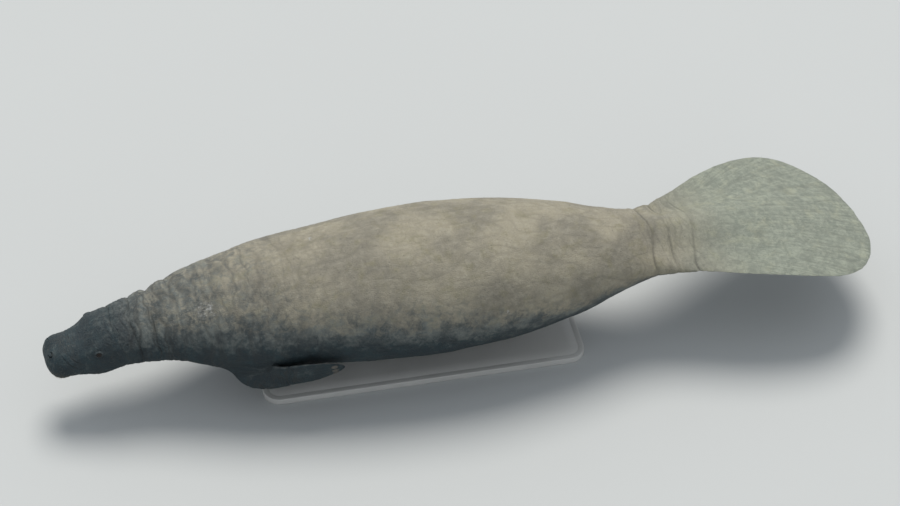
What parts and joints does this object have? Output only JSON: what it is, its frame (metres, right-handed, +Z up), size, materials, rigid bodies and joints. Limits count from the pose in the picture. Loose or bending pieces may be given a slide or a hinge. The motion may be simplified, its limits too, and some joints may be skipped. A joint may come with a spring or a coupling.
{
  "type": "manatee model",
  "caption": "Life-size manatee, swimming level with its paddle tail bent down and its flippers folded back along the flanks, held on a low display stand.",
  "frame": {"origin": "centre of the stand's underside, on the floor", "axes": "-X along the animal towards its muzzle, -Y to its left side, +Z up"},
  "size_m": [2.9866, 0.7165, 0.5648],
  "materials": {
    "skin": "wrinkled grey brown hide with an olive film of algae on the back",
    "eye": "wet black brown",
    "nail": "worn horn",
    "stand_paint": "satin pale grey paint",
    "stand_steel": "brushed"
  },
  "bodies": {
    "root": {"head": "skin", "neck": "skin", "torso": "skin", "tail_stock": "skin", "tail_paddle": "skin", "flipper_left": "skin", "flipper_right": "skin", "eye_left": "eye", "eye_right": "eye", "stand_base": "stand_paint", "nail_left_1": "nail", "nail_left_2": "nail", "nail_left_3": "nail", "nail_right_1": "nail", "nail_right_2": "nail", "nail_right_3": "nail", "stand_foot_front": "stand_steel", "stand_rod_front": "stand_steel", "stand_saddle_front": "stand_steel", "stand_foot_rear": "stand_steel", "stand_rod_rear": "stand_steel", "stand_saddle_rear": "stand_steel"}
  },
  "joints": []
}
